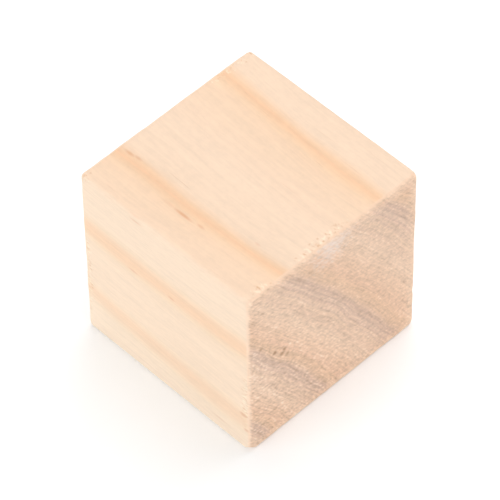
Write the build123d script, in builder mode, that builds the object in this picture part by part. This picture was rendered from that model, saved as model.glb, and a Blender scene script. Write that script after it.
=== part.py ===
from build123d import *
import os
from math import acos, sqrt, tan

# Wood block: one solid cube of pine, cross-cut from a square planed batten.
# +X runs along the grain, so the two X faces are end grain and the other four are long grain.
# The origin is the middle of the bottom face, and +Z is up. Millimetres.

length = 30.0  # along the grain, from saw cut to saw cut
width = 30.0  # across the grain, one planed side of the batten
height = 30.0  # across the grain, the other planed side of the batten

arris_radius = 0.60  # every arris is eased to this radius by sanding
corner_flat_radius = 0.10  # the small flat left in the middle of each dubbed corner

# Sanding takes more from a corner than from an arris, so each corner is first cut off square to
# its diagonal, as a small triangle. The triangle has to hold its flat and the easing around it:
# an easing turns the surface from a face to the corner flat, which takes this much of the flat.
corner_turn = acos(1 / sqrt(3))
easing_width = arris_radius * tan(corner_turn / 2)

# The legs of the cut, along the three arrises, follow from the radius of the circle inside it.
corner_leg = sqrt(6) * (corner_flat_radius + easing_width)

with BuildPart() as wood_block:
    # The planed batten's section, looked at along the grain, drawn out to the block's length.
    with BuildSketch(Plane.YZ.offset(-length / 2)) as batten_section:
        with Locations((0, height / 2)):
            Rectangle(width, height)
    extrude(amount=length)

    # The eight corners are dubbed.
    middle = wood_block.part.center()
    for corner in wood_block.vertices():
        outward = Vector(
            1 if corner.X > middle.X else -1,
            1 if corner.Y > middle.Y else -1,
            1 if corner.Z > middle.Z else -1,
        )
        corner_cut = Plane(origin=Vector(corner) - outward * (corner_leg / 3), z_dir=outward)
        split(bisect_by=corner_cut, keep=Keep.BOTTOM)

    # All arrises, and the rims of the dubbed corners, are eased together.
    fillet(wood_block.edges(), radius=arris_radius)

wood_block.part.label = "wood_block"

os.makedirs("parts", exist_ok=True)
export_step(wood_block.part, "parts/wood_block.step")
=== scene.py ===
import itertools
import math

import bpy
import numpy as np
from mathutils import Matrix, Vector


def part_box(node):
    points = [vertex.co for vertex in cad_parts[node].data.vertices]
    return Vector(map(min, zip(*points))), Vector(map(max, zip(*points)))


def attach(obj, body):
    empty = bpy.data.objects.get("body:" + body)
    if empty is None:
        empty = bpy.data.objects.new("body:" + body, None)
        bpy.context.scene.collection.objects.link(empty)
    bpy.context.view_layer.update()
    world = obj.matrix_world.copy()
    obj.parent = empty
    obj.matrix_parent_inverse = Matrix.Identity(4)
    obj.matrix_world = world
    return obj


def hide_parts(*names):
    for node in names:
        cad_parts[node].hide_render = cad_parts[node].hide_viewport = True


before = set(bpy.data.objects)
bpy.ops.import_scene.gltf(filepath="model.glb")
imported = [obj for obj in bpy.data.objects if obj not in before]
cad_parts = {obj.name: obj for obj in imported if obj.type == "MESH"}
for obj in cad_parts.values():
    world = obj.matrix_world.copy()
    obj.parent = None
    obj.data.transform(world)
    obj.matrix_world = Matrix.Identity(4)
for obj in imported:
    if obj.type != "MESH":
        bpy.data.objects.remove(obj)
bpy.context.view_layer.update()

# WOOD BLOCK
# One solid cube of fast-grown pine, cross-cut from a square planed batten and sanded bare. The grain
# runs along X, so the two X faces are end grain. Its arrises are eased, and its corners are dubbed.

# Sizes are in millimetres. The block's box is measured from its own origin, on the floor below its
# middle, and the points of its skin are measured from its middle until the mesh is made.
mm = 0.001
low, high = (np.array(corner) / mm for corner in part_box("wood_block"))
half = (high - low) / 2
middle = (high + low) / 2

arris_radius = 0.60
arris_steps = 5  # steps round half of an eased arris
flat_steps = 118  # steps across the flat of a face, each about a quarter of a millimetre


def lattice(half_size):
    """Places across the block, from -half_size to half_size: even steps over the flat of a face, and
    over each arris strip the tangents of even turns, so that the eased arc gets even steps."""
    flat_end = half_size - arris_radius
    flat = np.linspace(-flat_end, flat_end, flat_steps + 1)
    turn = np.linspace(0, math.pi / 4, arris_steps + 1)[1:]
    strip = flat_end + arris_radius * np.tan(turn)
    return np.concatenate([-strip[::-1], flat, strip])


def cube_skin(count):
    """The six faces of a cube as one closed skin: the lattice places (three whole numbers from 0 to
    count) of its points, each held once, and its four-sided faces, all turned outwards. On each
    face two of the numbers run and the third stays at 0 or count."""
    run = np.arange(count + 1)
    first, second = np.meshgrid(run, run, indexing="ij")
    places, quads = [], []
    for axis, end in itertools.product(range(3), (0, count)):
        face = np.insert(np.stack([first, second], axis=-1), axis, end, axis=-1)
        number = len(places) * (count + 1) ** 2 + first * (count + 1) + second
        corners = [number[:-1, :-1], number[1:, :-1], number[1:, 1:], number[:-1, 1:]]
        if (axis == 1) == (end == count):
            corners.reverse()
        places.append(face.reshape(-1, 3))
        quads.append(np.stack(corners, axis=-1).reshape(-1, 4))
    places, quads = np.concatenate(places), np.concatenate(quads)
    key = places @ np.array([(count + 1) ** 2, count + 1, 1])
    _, kept, merged = np.unique(key, return_index=True, return_inverse=True)
    return places[kept], merged.reshape(-1)[quads]


# The sharp cube's skin, and the eased one: each point is drawn in to the arris radius from the
# nearest point of the inner cube, whose faces lie one radius inside the block's.
places, quads = cube_skin(2 * arris_steps + flat_steps)
sharp = np.stack([lattice(half[axis])[places[:, axis]] for axis in range(3)], axis=-1)
inner = np.clip(sharp, arris_radius - half, half - arris_radius)
outward = sharp - inner
outward /= np.linalg.norm(outward, axis=-1, keepdims=True)
skin = inner + arris_radius * outward
end_cut = np.abs(outward[:, 0])  # 1 on the saw cuts, 0 on the long grain, and between them on an arris


def soft_noise(points, cell, seed):
    """Smooth noise from 0 to 1. Space is divided into cells of the given size, each cell corner holds
    a random number, and a point takes its eight corners' numbers, weighted by nearness, with each
    nearness t eased as 3tt - 2ttt. The random numbers come round again after as many cells as span."""
    span = 64
    numbers = np.random.default_rng(seed).random((span, span, span))
    place = points / np.array(cell)
    base = np.floor(place).astype(int)
    near = place - base
    near = near * near * (3 - 2 * near)
    total = np.zeros(len(points))
    for step in itertools.product((0, 1), repeat=3):
        share = np.where(step, near, 1 - near).prod(axis=-1)
        total += share * numbers[tuple(((base + step) % span).T)]
    return total


# Growth rings. The pith lies far outside the block, below its front side, and runs askew to the
# block, in a slow bend. A ring's radius is the distance from the pith. The fibres run along the block,
# so a fibre's place round the ring is its angle seen from where the pith is at the right end.
pith_end = np.array([-145.4, -86.4])  # Y and Z of the pith where the block's right end is
pith_slope = np.array([-0.378, 0.520])  # how Y and Z change along X
pith_bend = np.array([0.00157, 0.00225])  # and how that slope changes
late_lines = [151.5, 159.9, 168.7, 179.5, 192.9, 207.0]  # radii of the years' darkest lines
ring_wander = 0.30  # how far a ring strays from round, to either side
wander_cell = (9.0, 3.5, 3.5)  # and over what stretches of X, Y and Z

along = skin[:, 0] - half[0]
across = skin[:, 1:] + middle[1:] - pith_end
angle = np.arctan2(across[:, 1], across[:, 0])
across -= pith_slope * along[:, None] + pith_bend * along[:, None] ** 2
radius = np.hypot(across[:, 0], across[:, 1])
arc = angle * radius
radius += ring_wander * (2 * soft_noise(skin, wander_cell, seed=11) - 1)
year = np.interp(radius, late_lines, np.arange(len(late_lines)))


def rise(value, start, end):
    """0 below start, 1 above end, and between them a slope whose share t is eased as 3tt - 2ttt."""
    share = np.clip((value - start) / (end - start), 0, 1)
    return share * share * (3 - 2 * share)


# Late wood is harder than early wood, so planing and sanding leave it standing a little proud.
early_depth = 0.025
late_sets_in = (0.86, 0.97)  # between these shares of a year
late_gives_way = (0.03, 0.09)  # between these shares of the next
phase = year % 1
late_wood = np.maximum(rise(phase, *late_sets_in), 1 - rise(phase, *late_gives_way))
early_hollow = early_depth * (1 - late_wood)

# The saw leaves the end grain slightly furry.
fur_depth = 0.035
fur_cell = (0.45, 0.45, 0.45)
fur = soft_noise(skin, fur_cell, seed=21) * fur_depth * rise(end_cut, 0.75, 0.98)

# Each arris is worn unevenly.
wear_depth = 0.10
wear_cell = (1.6, 1.6, 1.6)
on_arris = 1 - rise(np.abs(outward).max(axis=-1), 0.72, 0.995)
wear = wear_depth * on_arris * rise(soft_noise(skin, wear_cell, seed=31), 0.35, 0.95)

# Where the saw left the block it tore small tufts out of the long grain, just beside the end arrises.
# Three places at the right end are the worst, each given from the block's middle, with how far it
# reaches: two stretches of the top arris, and one low on the front.
worst_places = [
    ((half[0], -1.6, half[2]), 5.2),
    ((half[0], -12.4, half[2]), 2.4),
    ((half[0], -half[1], -5.5), 5.5),
]
tear_depth = 0.06
tear_cell = (0.9, 0.40, 0.40)
tears_die_out = (1.0, 2.2)  # between these distances from the saw cut
stretch_cell = (20.0, 4.0, 4.0)  # the other torn stretches' size
stretch_strength = 0.7  # and how badly they are torn beside the worst places, which count as 1
from_end = half[0] - np.abs(sharp[:, 0])
torn = stretch_strength * rise(soft_noise(sharp, stretch_cell, seed=42), 0.35, 0.75)
for place, reach in worst_places:
    away = np.linalg.norm(sharp - np.array(place), axis=-1)
    torn = np.maximum(torn, np.exp(-((away / reach) ** 2)))
torn *= (1 - rise(from_end, *tears_die_out)) * (1 - rise(end_cut, 0.1, 0.7))
tears = tear_depth * torn * rise(soft_noise(sharp, tear_cell, seed=41), 0.5, 0.8)

# How far a point lies in from the nearest long side, for the paler rim of the end grain. The rim is
# narrower along the front side, as if the point lay further in.
front_narrowing = 1.2
from_front = half[1] + sharp[:, 1] + front_narrowing
from_back = half[1] - sharp[:, 1]
from_top_or_foot = half[2] - np.abs(sharp[:, 2])
rim = np.minimum(np.minimum(from_front, from_back), from_top_or_foot)

# Each corner is dubbed by its own amount: the leg of the small triangle that is lost there, by the
# signs of the corner's X, Y and Z. A point beyond the cut is drawn back to it, and the cut is blended
# into the faces: for the softness s and the distance d beyond the cut, by s times log(1 + exp(d / s)).
corner_legs = {
    (-1, -1, -1): 1.1,
    (-1, -1, 1): 0.8,
    (-1, 1, -1): 1.0,
    (-1, 1, 1): 0.6,
    (1, -1, -1): 1.4,
    (1, -1, 1): 1.2,
    (1, 1, -1): 1.1,
    (1, 1, 1): 1.2,
}
cut_softness = 0.08

skin -= outward * (early_hollow + fur + wear + tears)[:, None]
for signs, leg in corner_legs.items():
    beyond = skin @ np.array(signs) - (half.sum() - leg)
    cut = cut_softness * np.logaddexp(0, beyond / cut_softness)
    skin -= np.array(signs) * (cut / 3)[:, None]

mesh = bpy.data.meshes.new("pine_cube")
mesh.from_pydata(((skin + middle) * mm).tolist(), [], quads.tolist())
mesh.polygons.foreach_set("use_smooth", np.ones(len(quads), dtype=bool))
wood_block = bpy.data.objects.new("pine_cube", mesh)
bpy.context.scene.collection.objects.link(wood_block)

# What the wood's colours follow at each point: its place in the grain, its year of growth, how far
# the fibres are cut across and torn there, and how far in from the rim it lies.
grain_place = np.stack([radius, arc, skin[:, 0]], axis=-1)
followed = {"grain": grain_place, "year": year, "end_cut": end_cut, "torn": torn, "rim": rim}
for name, values in followed.items():
    kind, field = ("FLOAT", "value") if values.ndim == 1 else ("FLOAT_VECTOR", "vector")
    attribute = mesh.attributes.new(name, kind, "POINT")
    attribute.data.foreach_set(field, values.astype(np.float32).ravel())


def linear(hex_colour):
    """A colour written as an sRGB hex value, as the linear RGBA that shaders take."""
    parts = [int(hex_colour[i : i + 2], 16) / 255 for i in (1, 3, 5)]
    return [c / 12.92 if c <= 0.04045 else ((c + 0.055) / 1.055) ** 2.4 for c in parts] + [1.0]


def add(tree, kind, inputs=(), out=0, stops=(), **settings):
    """Adds a node and gives one of its outputs. inputs fill its sockets, in order or by name, each with
    a plain value or another node's output. stops are a ramp's places and colours, and settings are
    the node's own properties."""
    node = tree.nodes.new("ShaderNode" + kind)
    for name, value in settings.items():
        setattr(node, name, value)
    if stops:
        ramp = node.color_ramp.elements
        for place, _ in stops[1:-1]:
            ramp.new(place)
        for element, (place, colour) in zip(ramp, stops):
            element.position = place
            element.color = linear(colour)
    sockets = inputs.items() if isinstance(inputs, dict) else enumerate(inputs)
    for name, value in sockets:
        if isinstance(value, bpy.types.NodeSocket):
            tree.links.new(value, node.inputs[name])
        else:
            node.inputs[name].default_value = value
    return node.outputs[out] if node.outputs else node


# Solid pine, sanded bare: a matt, warm surface whose colour follows the growth rings through the
# block, with its fibres' sides on the long grain and their open ends on the saw cut.
pine = bpy.data.materials.new("sanded_pine")
pine.use_nodes = True
wood = pine.node_tree
wood.nodes.clear()

grain = add(wood, "Attribute", attribute_name="grain", out="Vector")
years = add(wood, "Attribute", attribute_name="year", out="Fac")
cut_angle = add(wood, "Attribute", attribute_name="end_cut", out="Fac")
from_rim = add(wood, "Attribute", attribute_name="rim", out="Fac")
torn_share = add(wood, "Attribute", attribute_name="torn", out="Fac")


def fibre(size):
    """Noise from 0 to 1 in the wood's own directions. size is the patch size in millimetres out from
    the pith, round the ring and along the grain."""
    scaled = add(wood, "Mapping", {"Vector": grain, "Scale": [1 / s for s in size]})
    return add(wood, "TexNoise", {"Vector": scaled, "Scale": 1.0, "Detail": 2.0, "Roughness": 0.55})


def layered(layers, ground=1.0):
    """The ground plus each layer of fibres, a patch size and a depth, as noise about 0 times the depth."""
    for size, depth in layers:
        about_zero = add(wood, "Math", (fibre(size), 0.5), operation="SUBTRACT")
        ground = add(wood, "Math", (about_zero, depth, ground), operation="MULTIPLY_ADD")
    return ground


def tinted(colour, tint, value, start, end, first=0.0, last=1.0):
    """The colour with a tint laid over it: with the strength first where the value is below start and
    last where it is above end, and an eased slope between them."""
    slope = {"Value": value, "From Min": start, "From Max": end, "To Min": first, "To Max": last}
    share = add(wood, "MapRange", slope, interpolation_type="SMOOTHSTEP")
    return add(wood, "Mix", {"Factor": share, "A": colour, "B": tint}, out="Result", data_type="RGBA")


# Where in the year's growth a point is: 0 and 1 are the darkest late wood, and the numbers above 0
# are the early wood that follows outside it. Bundles of fibres fray the edges of the rings.
frayed = layered([((0.35, 0.7, 6.0), 0.030), ((1.5, 3.0, 20.0), 0.016)], ground=years)
phase_now = add(wood, "Math", (frayed,), operation="FRACT")

# The long grain: pale early wood, which darkens slowly and then faster to the orange late line.
early_wood = "#F6D8BD"
full_late_colour = add(
    wood,
    "ValToRGB",
    (phase_now,),
    stops=[
        (0.000, "#F4C7A1"),
        (0.030, "#F3CBA7"),
        (0.065, "#F5D3B5"),
        (0.100, "#F5D7BC"),
        (0.150, early_wood),
        (0.450, early_wood),
        (0.620, "#F6D6BA"),
        (0.800, "#F6D5B7"),
        (0.875, "#F6D3B4"),
        (0.920, "#F6D2B1"),
        (0.960, "#F5CDA9"),
        (1.000, "#F4C7A1"),
    ],
)

# The first two years in the block have thinner and paler late wood, with softer edges. The very first
# year is also tinted paler all through: painted light that lifts the shade near the floor at the foot of
# the front side.
thin_late_colour = add(
    wood,
    "ValToRGB",
    (phase_now,),
    stops=[
        (0.000, "#F4CBA9"),
        (0.035, "#F4CDAC"),
        (0.065, "#F5D1B2"),
        (0.100, "#F5D5B7"),
        (0.160, early_wood),
        (0.600, early_wood),
        (0.780, "#F5D6BA"),
        (0.840, "#F4D3B4"),
        (0.880, "#F3CEAE"),
        (0.920, "#F3CBA9"),
        (1.000, "#F4CBA9"),
    ],
)
long_colour = tinted(thin_late_colour, full_late_colour, years, start=2.3, end=2.7)
# The first year's paler tint is painted light: it lifts the shade near the floor at the foot of the front
# side.
painted_foot_light = linear("#FFF0DC")
long_colour = tinted(long_colour, painted_foot_light, years, start=0.85, end=1.25, first=0.20, last=0.0)

# The saw cut: its early wood is palest in mid-year, and three thin darker lines lead up to the
# darkest one.
end_colour = add(
    wood,
    "ValToRGB",
    (phase_now,),
    stops=[
        (0.000, "#DAB8A3"),
        (0.030, "#E6C4AB"),
        (0.070, "#E8C4A7"),
        (0.150, "#EDC7A8"),
        (0.220, "#EEC7AA"),
        (0.340, "#F1CCAF"),
        (0.560, "#F2D1B6"),
        (0.680, "#EDCBB1"),
        (0.760, "#EDCCB1"),
        (0.795, "#E8C7AF"),
        (0.830, "#ECCBB1"),
        (0.875, "#E4C2AC"),
        (0.905, "#EACAB2"),
        (0.945, "#DBBAA5"),
        (0.970, "#E6C5AD"),
        (1.000, "#DAB8A3"),
    ],
)

# The saw cut shows the fibres' open ends, which look darker and greyer than their sides. On the eased
# arris between them the fibres are cut aslant, and the rim of the cut is paler. Each place where one
# look passes into the next wanders a little.
not_cut = add(wood, "Math", (1.0, cut_angle), operation="SUBTRACT")
cut_aslant = add(wood, "Math", (cut_angle, not_cut), operation="MULTIPLY")
ragged_size = (0.40, 0.40, 0.40)
ragged = layered([(ragged_size, 1.2)], ground=0.0)
cut_place = add(wood, "Math", (ragged, cut_aslant, cut_angle), operation="MULTIPLY_ADD")
rim_place = add(wood, "Math", (ragged, from_rim), operation="ADD")
cut_slope = {"Value": cut_place, "From Min": 0.35, "From Max": 0.95}
end_share = add(wood, "MapRange", cut_slope, interpolation_type="SMOOTHSTEP")

slant_colour = tinted(long_colour, linear("#F9D6BA"), cut_angle, start=-1.0, end=0.5, last=0.8)
cut_colour = tinted(end_colour, slant_colour, rim_place, start=0.1, end=2.3, first=0.85, last=0.0)
side_colour = tinted(long_colour, slant_colour, cut_place, start=0.05, end=0.45)
wood_colour = tinted(side_colour, cut_colour, cut_place, start=0.60, end=0.95)

# Fine texture, as how much it darkens or lightens the wood. A fibre is only some hundredths of a
# millimetre thick, so its texture is drawn as bundles of fibres, as coarse as it needs to show. On
# the saw cut the bundles' ends stand in rows round the rings.
bundle_size = (0.46, 0.52, 2.5)
bundle_shade = 1.164  # at the middle of a bundle's end
bundle_fall = 0.38  # how much darker it is one bundle's size away
in_bundles = add(wood, "Mapping", {"Vector": grain, "Scale": [1 / s for s in bundle_size]})
cells = {"Vector": in_bundles, "Scale": 1.0, "Smoothness": 0.8, "Randomness": 0.7}
from_bundle = add(wood, "TexVoronoi", cells, out="Distance", feature="SMOOTH_F1")
bundled = add(wood, "Math", (from_bundle, -bundle_fall, bundle_shade), operation="MULTIPLY_ADD")
shade_long = layered(
    [
        ((0.25, 0.28, 4.0), 0.12),
        ((0.60, 0.80, 20.0), 0.12),
        ((0.50, 0.50, 1.0), 0.11),
        ((2.5, 2.5, 10.0), 0.06),
    ]
)
shade_even = layered(
    [
        ((0.26, 7.0, 8.0), 0.40),
        ((0.22, 0.25, 2.0), 0.44),
        ((0.60, 16.0, 30.0), 0.18),
        ((6.0, 0.35, 8.0), 0.06),
        ((3.0, 6.0, 9.0), 0.06),
    ],
    ground=bundled,
)

# The inner years were cut crisply, and the outer ones more smoothly.
crisp_slope = {"Value": years, "From Min": 1.5, "From Max": 3.5, "To Min": 1.25, "To Max": 0.85}
crispness = add(wood, "MapRange", crisp_slope, interpolation_type="SMOOTHSTEP")
even_above_one = add(wood, "Math", (shade_even, 1.0), operation="SUBTRACT")
above_one = add(wood, "Math", (even_above_one, crispness), operation="MULTIPLY")
shade_end = add(wood, "Math", (above_one, 1.0), operation="ADD")
shade = add(wood, "Mix", {"Factor": end_share, "A": shade_long, "B": shade_end}, out="Result")
shaded = add(wood, "VectorMath", {"Vector": wood_colour, "Scale": shade}, operation="SCALE")

# The palest bundles of the saw cut have chalky dust in their open ends, and the darkest are warm brown.
dusty = add(wood, "Math", (above_one, end_share), operation="MULTIPLY")
shaded = tinted(shaded, linear("#FCECDC"), dusty, start=0.07, end=0.24, last=0.62)
shaded = tinted(shaded, linear("#C8946A"), dusty, start=-0.26, end=-0.06, first=0.32, last=0.0)

# Open resin canals: fine brown streaks on the long grain and dots on the cut, thinly sown all over.
canal_size = (0.25, 0.25, 12.0)
shaded = tinted(shaded, linear("#C08A5C"), fibre(canal_size), start=0.70, end=0.80, last=0.22)

own_place = add(wood, "TexCoord", out="Object")
place_mm = add(wood, "VectorMath", {"Vector": own_place, "Scale": 1 / mm}, operation="SCALE")


def away_from(spot, reach):
    """How far away a spot is, which is given in millimetres from the block's own origin: the length
    of the way from it, with its X, Y and Z each divided by that of the reach."""
    way = add(wood, "VectorMath", (place_mm, spot), operation="SUBTRACT")
    way = add(wood, "VectorMath", (way, reach), operation="DIVIDE")
    return add(wood, "VectorMath", (way,), operation="LENGTH", out="Value")


# The resin marks that stand out, each a short spindle along the grain: its middle from the block's
# own origin, half its length and half its thickness, and its strength. The first ones are on the top,
# the next on the front, and the last are dots on the end.
end_x, front_y, top_z = high[0], low[1], high[2]
marks = [
    ((-0.9, -10.55, top_z), 2.3, 0.38, 0.52),
    ((-3.4, -10.50, top_z), 2.0, 0.40, 0.14),
    ((2.0, -10.35, top_z), 1.0, 0.32, 0.32),
    ((-12.9, -8.20, top_z), 1.2, 0.38, 0.36),
    ((-11.6, -8.00, top_z), 1.0, 0.34, 0.26),
    ((9.0, -7.40, top_z), 0.7, 0.30, 0.20),
    ((-5.2, -14.80, 29.9), 1.5, 0.25, 0.16),
    ((-5.7, front_y, 18.80), 1.4, 0.32, 0.28),
    ((1.2, front_y, 19.25), 0.9, 0.34, 0.34),
    ((13.8, front_y, 7.05), 0.9, 0.45, 0.42),
    ((14.3, front_y, 4.20), 0.7, 0.45, 0.40),
    ((9.5, front_y, 2.30), 2.3, 0.25, 0.18),
    ((-4.9, front_y, 29.10), 1.5, 0.25, 0.34),
    ((end_x, -12.96, 19.38), 0.8, 0.55, 0.46),
    ((end_x, -10.47, 16.56), 0.8, 0.55, 0.62),
    ((end_x, -9.21, 15.30), 0.8, 0.60, 0.62),
    ((end_x, -8.76, 15.78), 0.8, 0.52, 0.56),
    ((end_x, -8.20, 14.50), 0.8, 0.50, 0.50),
]
mark_share = 0.0
for spot, half_length, half_thickness, strength in marks:
    away = away_from(spot, (half_length, half_thickness, half_thickness))
    fade = {"Value": away, "From Min": 0.1, "From Max": 1.0, "To Min": strength, "To Max": 0.0}
    this_share = add(wood, "MapRange", fade, interpolation_type="SMOOTHSTEP")
    mark_share = add(wood, "Math", (this_share, mark_share), operation="MAXIMUM")
resin = tinted(linear("#D2854F"), linear("#96643C"), end_share, start=0.4, end=0.9)
marked = {"Factor": mark_share, "A": shaded, "B": resin}
shaded = add(wood, "Mix", marked, out="Result", data_type="RGBA")

# The torn tufts leave light brown hollows with pale lips.
tuft_size = (0.32, 0.32, 0.65)
tuft = layered([(tuft_size, 1.0)], ground=0.0)
tuft = add(wood, "Math", (tuft, torn_share), operation="MULTIPLY")
shaded = tinted(shaded, linear("#D8A26C"), tuft, start=0.03, end=0.13, last=0.55)
shaded = tinted(shaded, linear("#FFEED4"), tuft, start=-0.12, end=-0.03, first=0.6, last=0.0)

# A chalky smear lies on the end grain by the top arris, broken up into dabs. It is measured as the
# marks are, and fades outwards. The saw cut counts as so much nearer to it, so that it stays there.
smear_spot = (end_x, -0.3, 28.6)
smear_reach = (9.0, 4.2, 3.8)
cut_nearer = 2.0
dab_size = (0.45, 0.55, 2.0)
dabs = layered([(dab_size, 3.2)], ground=away_from(smear_spot, smear_reach))
dabs = add(wood, "Math", (end_share, -cut_nearer, dabs), operation="MULTIPLY_ADD")
shaded = tinted(shaded, linear("#F8E7DE"), dabs, start=-2.4, end=-0.9, first=0.62, last=0.0)

# The finest relief, of single bundles of fibres, is too small for the mesh.
relief_size = (0.2, 0.25, 6.0)
relief_depth = 0.03
relief = add(wood, "Math", (fibre(relief_size), shade_end), operation="ADD")
bump = add(wood, "Bump", {"Strength": 0.25, "Distance": relief_depth * mm, "Height": relief})
surface = {"Base Color": shaded, "Roughness": 0.62, "IOR": 1.45, "Normal": bump}
add(wood, "OutputMaterial", (add(wood, "BsdfPrincipled", surface),))

mesh.materials.append(pine)
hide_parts("wood_block")
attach(wood_block, "root")

# FLOOR AND BACKGROUND
# A plain matt white table, which is not part of the block, in a white room. The table keeps the
# block's soft shadow, and shows as white to the eye also further out, where the lamps fade.

floor_reach = 2.0
floor_corners = [(-1, -1), (1, -1), (1, 1), (-1, 1)]
floor_points = [(x * floor_reach, y * floor_reach, low[2] * mm) for x, y in floor_corners]
floor_mesh = bpy.data.meshes.new("floor")
floor_mesh.from_pydata(floor_points, [], [(0, 1, 2, 3)])
floor = bpy.data.objects.new("floor", floor_mesh)
bpy.context.scene.collection.objects.link(floor)


def seen_by_eye(tree):
    """1 for rays that show a surface to the camera, straight on or by gloss or glass, 0 for light."""
    share = add(tree, "LightPath", out="Is Camera Ray")
    for other in ("Is Glossy Ray", "Is Transmission Ray"):
        share = add(tree, "Math", (share, add(tree, "LightPath", out=other)), operation="MAXIMUM")
    return share


# Matt white paint, with a glow for the eye alone that makes up what the lamps' light lacks of white.
near, far = 0.12, 0.45  # how far from the block the lamps start to fade, and where they have faded
near_glow, far_glow = 0.20, 0.70
white_table = bpy.data.materials.new("matt_white_table")
white_table.use_nodes = True
table = white_table.node_tree
table.nodes.clear()
paint = add(table, "BsdfDiffuse", {"Color": linear("#F4F4F4")})
table_place = add(table, "TexCoord", out="Object")
from_block = add(table, "VectorMath", (table_place,), operation="LENGTH", out="Value")
faded = {"Value": from_block, "From Min": near, "From Max": far, "To Min": near_glow, "To Max": far_glow}
missing = add(table, "MapRange", faded)
glow_share = add(table, "Math", (seen_by_eye(table), missing), operation="MULTIPLY")
glow = add(table, "Emission", {"Color": linear("#FFFFFF"), "Strength": glow_share})
add(table, "OutputMaterial", (add(table, "AddShader", (paint, glow)),))
floor_mesh.materials.append(white_table)

# The room is white to the eye, and lights the block evenly from all sides.
room_light = 0.50
white_studio = bpy.data.worlds.new("white_studio")
white_studio.use_nodes = True
bpy.context.scene.world = white_studio
air = white_studio.node_tree
air.nodes.clear()
brightness = add(air, "MapRange", {"Value": seen_by_eye(air), "To Min": room_light, "To Max": 1.0})
sky = add(air, "Background", {"Color": linear("#FFFFFF"), "Strength": brightness})
add(air, "OutputWorld", (sky,))

# LIGHTS
# Three large soft boxes: one low in front of each of the two sides that show, and one high above and
# a little behind the top, so that no arris shines. The left one is slightly cooler than the others.

block_middle = Vector(middle * mm)


def soft_box(name, direction, distance, width, watts, colour="#FFFFFF"):
    """A square lamp at that distance from the block in that direction, facing the block."""
    lamp = bpy.data.lights.new(name, "AREA")
    lamp.size = width
    lamp.energy = watts
    lamp.color = linear(colour)[:3]
    holder = bpy.data.objects.new(name, lamp)
    toward = Vector(direction).normalized()
    holder.location = block_middle + toward * distance
    holder.rotation_euler = toward.to_track_quat("Z", "Y").to_euler()
    bpy.context.scene.collection.objects.link(holder)


soft_box("left_box", (-0.25, -1.0, 0.15), distance=0.55, width=0.40, watts=1.935, colour="#E5F6FF")
soft_box("top_box", (-0.1, 0.4, 1.0), distance=0.55, width=0.45, watts=1.66)
soft_box("right_box", (1.0, -0.2, 0.15), distance=0.60, width=0.40, watts=1.02)

# CAMERA
# A long lens from above the block's front corner, which sees the top, one side and one end. Its
# distance and the width of its view, at the block's middle, are worked out from the block's length.

camera_turn = math.radians(45.91)  # round the block, from straight in front of the long side
camera_rise = math.radians(50.15)  # up from the floor
camera_roll = math.radians(0.88)  # sideways
block_length = 2 * half[0]
camera_distance = 17.25 * block_length * mm
view_width = 2.128 * block_length * mm

back = Vector(
    (
        math.sin(camera_turn) * math.cos(camera_rise),
        -math.cos(camera_turn) * math.cos(camera_rise),
        math.sin(camera_rise),
    )
)
level = Vector((math.cos(camera_turn), math.sin(camera_turn), 0))
upright = back.cross(level)
right = level * math.cos(camera_roll) - upright * math.sin(camera_roll)
up = level * math.sin(camera_roll) + upright * math.cos(camera_roll)

lens = bpy.data.cameras.new("camera")
lens.lens = lens.sensor_width * camera_distance / view_width
lens.clip_start = 0.01
camera = bpy.data.objects.new("camera", lens)
turn = Matrix((right, up, back)).transposed().to_4x4()
camera.matrix_world = Matrix.Translation(block_middle + back * camera_distance) @ turn
bpy.context.scene.collection.objects.link(camera)
bpy.context.scene.camera = camera

bpy.context.scene.view_settings.view_transform = "Standard"
